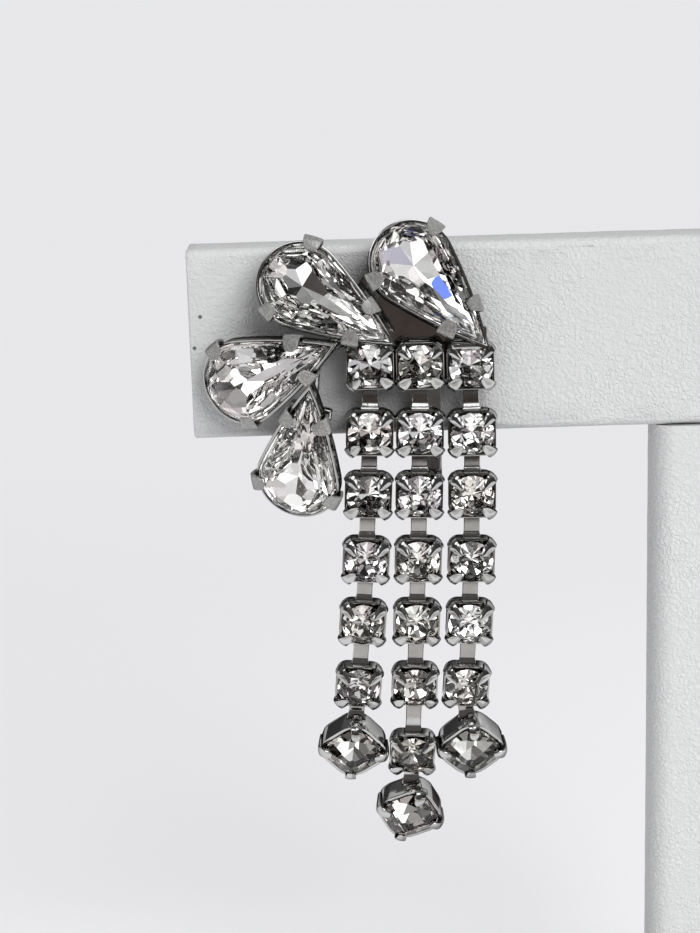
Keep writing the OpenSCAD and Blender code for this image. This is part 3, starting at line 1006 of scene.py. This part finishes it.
def leatherette(name, pale):
    """Pale pebbled leatherette with fine creases, faint stains, painted shade where parts crowd it, and two
    dark specks on the arm.
    """
    material = bpy.data.materials.new(name)
    b = Bench(material)
    where = b.place()
    drift = b.add("ShaderNodeVectorMath", {0: b.noise(900, 3, where, out="Color"), 3: 0.0009},
                  operation="SCALE")
    warped = b.add("ShaderNodeVectorMath", {0: where, 1: drift}, operation="ADD")
    drawn = b.add("ShaderNodeMapping", {"Vector": warped, "Scale": (0.4, 1, 1)})
    cells = b.add("ShaderNodeTexVoronoi", {"Vector": warped, "Scale": 2100}, feature="DISTANCE_TO_EDGE")
    crease = cells.ramp(0.0, 0.3)
    lumps = b.noise(2400, 3, where)
    fibres = b.noise(2600, 3, drawn, 0.6)
    worn = b.noise(90, 3, where).ramp(0.35, 0.65)
    # The pale factor lifts the whole cloth; the post's copy uses it for painted light.
    cloth = b.mix(worn, (0.655 * pale,) * 3, (0.685 * pale,) * 3)
    colour = b.mix(crease * 0.3 + fibres * 0.5 + 0.2, (0.60, 0.605, 0.60), cloth)
    # Painted shade: the cloth darkens where the earring and the clip crowd close to it.
    colour = b.mix(b.openness(0.006).ramp(0.1, 0.9), (0.46, 0.46, 0.455), colour)
    for speck in SPECKS:
        spot = b.distance(where, speck).ramp(0.00012, 0.00026, 0.85, 0.0)
        colour = b.mix(spot, colour, (0.03, 0.03, 0.03))
    height = crease * (0.08 + 0.22 * worn) + lumps * 0.6 + fibres * 0.8 + b.noise(6500, 2, where) * 0.15
    b.surface(Base_Color=colour, Roughness=0.55 + 0.2 * lumps, Normal=b.bump(height, 0.00018, 0.85))
    return material


def pale_floor():
    """Matt floor with a glow of its own that evens out the light on it."""
    material = bpy.data.materials.new("pale_floor")
    b = Bench(material)
    far = b.add("ShaderNodeVectorMath", {0: b.place()}, operation="LENGTH", out=1).ramp(0.03, 0.24)
    b.surface(
        Base_Color=b.mix(b.noise(6, 2), (0.55, 0.55, 0.56), (0.565, 0.565, 0.575)), Roughness=0.8,
        Specular_IOR_Level=0.0, Emission_Color=b.mix(far, (1.03, 1.025, 1.05), (0.785, 0.78, 0.81)),
        Emission_Strength=0.385)
    return material


def dark_cloth():
    """Cloth that is darkest low down and far from the part, with a pale stretch close to it."""
    material = bpy.data.materials.new("dark_cloth")
    b = Bench(material)
    where = b.place()
    _, y, z = b.parts(where)
    cloth = b.mix(b.noise(16, 2, where).ramp(0.3, 0.7), (0.008, 0.008, 0.008), (0.075, 0.06, 0.055))
    cloth = b.mix(z.ramp(0.05, 0.09), cloth, (0.1, 0.097, 0.095))
    b.glow(b.mix(abs(y + 0.02).ramp(0.08, 0.17, 1.0, 0.0), cloth, (0.62, 0.60, 0.59)))
    return material


def white_card():
    material = bpy.data.materials.new("white_card")
    b = Bench(material)
    b.glow(b.mix(b.noise(30, 2), (1.3, 1.3, 1.3), (1.8, 1.8, 1.8)))
    return material


# Studio

def towards(right, up):
    """Direction from the part: degrees to the right of straight ahead, degrees up."""
    r, u = math.radians(right), math.radians(up)
    return (math.sin(r) * math.cos(u), -math.cos(r) * math.cos(u), math.sin(u))


def patch(b, sky, direction, half_wide, half_high, soft):
    """Soft rectangle of sky around a direction, its half sizes in degrees."""
    out = Vector(direction).normalized()
    side = out.cross(Vector((0, 0, 1))).normalized()
    ahead, aside, over = (b.dot(sky, axis) for axis in (out, side, side.cross(out)))
    mask = ahead.ramp(0.0, 0.1)
    ahead = ahead.most(0.001)
    for offset, half in ((aside, half_wide), (over, half_high)):
        edge = math.tan(math.radians(half))
        mask = mask * abs(offset / ahead).ramp(edge, edge + soft, 1, 0)
    return mask


def metal_sky(b, sky):
    """What the metal mirrors: light from the back right, the left, above and low behind, and windows."""
    across, back, height = b.parts(sky)
    right = across.ramp(0.1, 0.5)
    shine = 0.05 + 0.6 * back.ramp(0.15, 0.45) * right + 0.5 * across.ramp(-0.95, -0.84, 1, 0)
    shine = shine + 0.75 * back.ramp(0.5, 0.7) * height.ramp(0.14, 0.2, 1, 0) * (1 - right)
    shine = shine + 0.05 * height.ramp(0.5, 0.65) + 0.22 * patch(b, sky, (0.4, 0.1, 0.9), 24, 22, 0.1)
    for turned, off, wide, high, bright in WINDOWS:
        a, o = math.radians(turned), math.radians(off)
        middle = (math.sin(o) * math.cos(a), -math.cos(o), math.sin(o) * math.sin(a))
        shine = shine + bright * patch(b, sky, middle, wide, high, 0.03)
    return shine


def stone_sky(b, sky):
    """What the stones sparkle with: pale walls in many panes, dark to the right of the middle."""
    across, _, height = b.parts(sky)
    pale = 0.9 - 0.4 * height.ramp(0.75, 0.92) + 0.35 * abs(across + 0.1).ramp(0.72, 0.84)
    pale = pale + 0.9 * patch(b, sky, towards(-88, 11), 8, 9, 0.04)
    pale = pale * (1 - 0.95 * patch(b, sky, towards(34, 30), 11, 24, 0.05))
    panes = b.add("ShaderNodeTexVoronoi", {"Vector": sky, "Scale": 9, "W": 5.1}, out="Color",
                  voronoi_dimensions="4D")
    kind = b.parts(panes)[0]
    sparkle = pale * (0.02 + 0.55 * kind.ramp(0.38, 0.4) + 4.0 * kind.ramp(0.58, 0.6))
    soft = 0.7
    for right, up, half, bright in BOARDS:
        ends = (math.cos(math.radians(half + soft)), math.cos(math.radians(half - soft)))
        board = b.dot(sky, towards(right, up)).ramp(*ends)
        sparkle = sparkle * (1 - board) + bright * board
    return sparkle


def studio_world():
    """Studio that looks different to the metal, to the stones and to all else."""
    world = bpy.data.worlds.new("studio")
    bpy.context.scene.world = world
    world.cycles.sampling_method = "NONE"
    b = Bench(world)
    sky = b.add("ShaderNodeTexCoord", out="Generated")
    plain = b.parts(sky)[2].ramp(-0.2, 0.8, 0.46, 0.52)
    ray = b.node("ShaderNodeLightPath")
    camera, glossy, through = (Value(b, ray.outputs[name]) for name in
                               ("Is Camera Ray", "Is Glossy Ray", "Is Transmission Ray"))
    light = b.add("ShaderNodeMix", {0: glossy, 2: plain, 3: metal_sky(b, sky)})
    light = b.add("ShaderNodeMix", {0: through, 2: light, 3: stone_sky(b, sky)})
    shown = b.add("ShaderNodeMix", {0: camera, 2: light, 3: 0.8})
    air = b.add("ShaderNodeBackground", {"Color": (0.985, 0.99, 1.0), "Strength": shown})
    b.node("ShaderNodeOutputWorld", {"Surface": air})


def sun(name, direction, spread, strength):
    """Wide soft light from a direction, which neither the metal nor the stones mirror."""
    data = bpy.data.lights.new(name, "SUN")
    data.energy, data.angle = strength, math.radians(spread)
    lamp = bpy.data.objects.new(name, data)
    bpy.context.scene.collection.objects.link(lamp)
    lamp.rotation_euler = Vector(direction).to_track_quat("Z", "Y").to_euler()
    lamp.visible_glossy = lamp.visible_transmission = False


def card(name, wide, deep, at, high, material, for_stones=False):
    """Card on the floor with its near edge turned up, seen by the stones alone or the metal alone."""
    clear()
    bpy.ops.mesh.primitive_plane_add(size=1, location=at)
    piece = bpy.context.object
    piece.name = name
    open_mesh(piece)
    pick_all()
    bpy.ops.transform.resize(value=(wide, deep, 1))
    pick("EDGE", lambda co, d: co.y < -deep / 3)
    bpy.ops.mesh.extrude_edges_indiv()
    bpy.ops.transform.translate(value=(0, 0, high))
    close_mesh()
    apply_place()
    piece.data.materials.append(material)
    piece.visible_camera = piece.visible_diffuse = piece.visible_shadow = False
    piece.visible_glossy, piece.visible_transmission = not for_stones, for_stones


def studio_cards():
    """Dark cloths give the metal its dark outlines, and cards by the part show in the stones."""
    cloth, white = dark_cloth(), white_card()
    card("dark_front", 0.36, 0.36, (-0.05, -0.24, 0.002), 0.3, cloth)
    card("dark_side", 0.09, 0.09, (-0.27, -0.16, 0.002), 0.12, cloth, for_stones=True)
    card("white_front", 0.3, 0.34, (-0.09, -0.2, 0.003), 0.002, white, for_stones=True)
    card("dark_left", 0.12, 0.12, (-0.15, -0.12, 0.005), 0.002, cloth, for_stones=True)
    card("dark_back", 0.5, 0.4, (-0.035, 0.33, 0.002), 0.03, cloth)


def studio_floor():
    clear()
    bpy.ops.mesh.primitive_plane_add(size=60, location=(0, 0, 0))
    floor = bpy.context.object
    floor.name = "floor"
    floor.data.materials.append(pale_floor())


def photo_camera():
    data = bpy.data.cameras.new("photo_camera")
    data.sensor_width, data.lens, data.sensor_fit = SENSOR, FOCAL_PX * SENSOR / FRAME_PX, "AUTO"
    data.clip_start, data.clip_end = 0.005, 100
    camera = bpy.data.objects.new("photo_camera", data)
    bpy.context.scene.collection.objects.link(camera)
    tilt, roll = math.radians(CAMERA_TILT), math.radians(CAMERA_ROLL)
    ahead = Vector((0, math.cos(tilt), -math.sin(tilt)))
    level = Vector((1, 0, 0))
    above = level.cross(ahead)
    right = math.cos(roll) * level - math.sin(roll) * above
    up = math.sin(roll) * level + math.cos(roll) * above
    place = Matrix((right, up, -ahead)).transposed().to_4x4()
    place.translation = Vector(CAMERA_AT) * MM
    camera.matrix_world = place
    bpy.context.scene.camera = camera


# The part

def set_stone(master, node, place, spin, seed, warmth, foil_dulling_and_shade=few_dark, flashes=()):
    """A stone in its place, turned in its seat so that no two flash alike."""
    stone = copy_of(master, node + "_cut", place @ turn("Z", spin))
    mark_facets(stone, seed, warmth, foil_dulling_and_shade)
    mark_flashes(stone, place, flashes)
    hand_over(stone, node, "crystal", CRYSTAL, FOIL)
    lay_foil(stone, place)


def set_metal(piece, node):
    smooth(piece)
    hand_over(piece, node, "metal", RHODIUM)


def build_cluster(cup, band):
    """The soldered top of the earring, one piece."""
    parts = [cluster_plate(), clip_strap(), saddle()]
    parts += [pear_setting(which, band) for which in PEARS]
    parts += [copy_of(cup, "cup", cup_place(strand, 0)) for strand in STRANDS]
    set_metal(joined("cluster_metal", parts), "cluster_frame")


def build_strand(strand, order, cup, chaton, cushion):
    """Hanging cups and links of a strand, its drop, and the stones of both."""
    rows = STRANDS[strand][4]
    parts = [copy_of(cup, "cup", cup_place(strand, row)) for row in range(1, rows)]
    parts += [link(lower_slot(strand, row), upper_slot(strand, row + 1), 5 if row < 2 else 7)
              for row in range(rows - 1)]
    parts.append(link(last_slot(strand), drop_slot(strand), 5))
    set_metal(joined(strand + "_chain", parts), strand + "_strand")

    drop = put(drop_cup(strand), drop_place(strand))
    drop.name = strand + "_drop_metal"
    set_metal(drop, strand + "_drop_cup")

    for row in range(rows):
        # every third stone is yellower, and so are the middle strand's lower ones
        warmth = 0.15 + 0.25 * ((row + order) % 3 == 1) + 0.3 * (order == 1 and row > 3)
        set_stone(chaton, "%s_stone_%d" % (strand, row + 1), cup_place(strand, row) @ shift(0, 0, GIRDLE_Z),
                  (7 * row + 11 * order) % 45, 100 * order + row, warmth)
    seat = drop_place(strand) @ shift(0, 0, DROP_GIRDLE) @ turn("Z", 45 - DROPS[strand][0])
    # The foil right of each drop's middle is painted dark: painted shade.
    set_stone(cushion, strand + "_drop_stone", seat, 0, 500 + order, 0.45,
              right_painted_dark(drop_place(strand).translation.x + 0.1))


def build_pear(which, order):
    pear = pear_stone(31 + order)
    set_stone(pear, which + "_pear_stone", pear_place(which) @ shift(0, 0, PEAR_GIRDLE), 0, 600 + order,
              0.25, none_dark, TOP_PEAR_FLASHES if which == "top" else ())
    discard(pear)


def build_stand():
    # The post's copy is painted 9% lighter: painted light, as the post is lit more brightly than the arm.
    pale, post_painted_lighter = leatherette("pale_leatherette", 1.0), leatherette("post_leatherette_painted_lighter", 1.09)
    for board, part, material in ((arm(), "arm", pale), (post(), "post", post_painted_lighter), (base(), "base", pale)):
        board.name = "leatherette_" + part
        smooth(board, 40)
        hand_over(board, "stand_" + part, "stand", material)


def build():
    cup, band, chaton, cushion = small_cup(), pear_band(), round_stone(), cushion_stone()
    build_cluster(cup, band)
    set_metal(lever(), "clip_lever")
    for order, strand in enumerate(STRANDS):
        build_strand(strand, order, cup, chaton, cushion)
    for order, which in enumerate(PEARS):
        build_pear(which, order)
    build_stand()
    discard(cup, band, chaton, cushion)


RHODIUM, CRYSTAL, FOIL = rhodium(), crystal(), foil()
build()
studio_world()
studio_floor()
studio_cards()
sun("key", direction=(0.5, -0.8, 0.62), spread=40, strength=2.25)
photo_camera()
scene = bpy.context.scene
scene.view_settings.view_transform = "Standard"
scene.cycles.caustics_reflective = False
scene.cycles.caustics_refractive = False
scene.cycles.glossy_bounces = 8
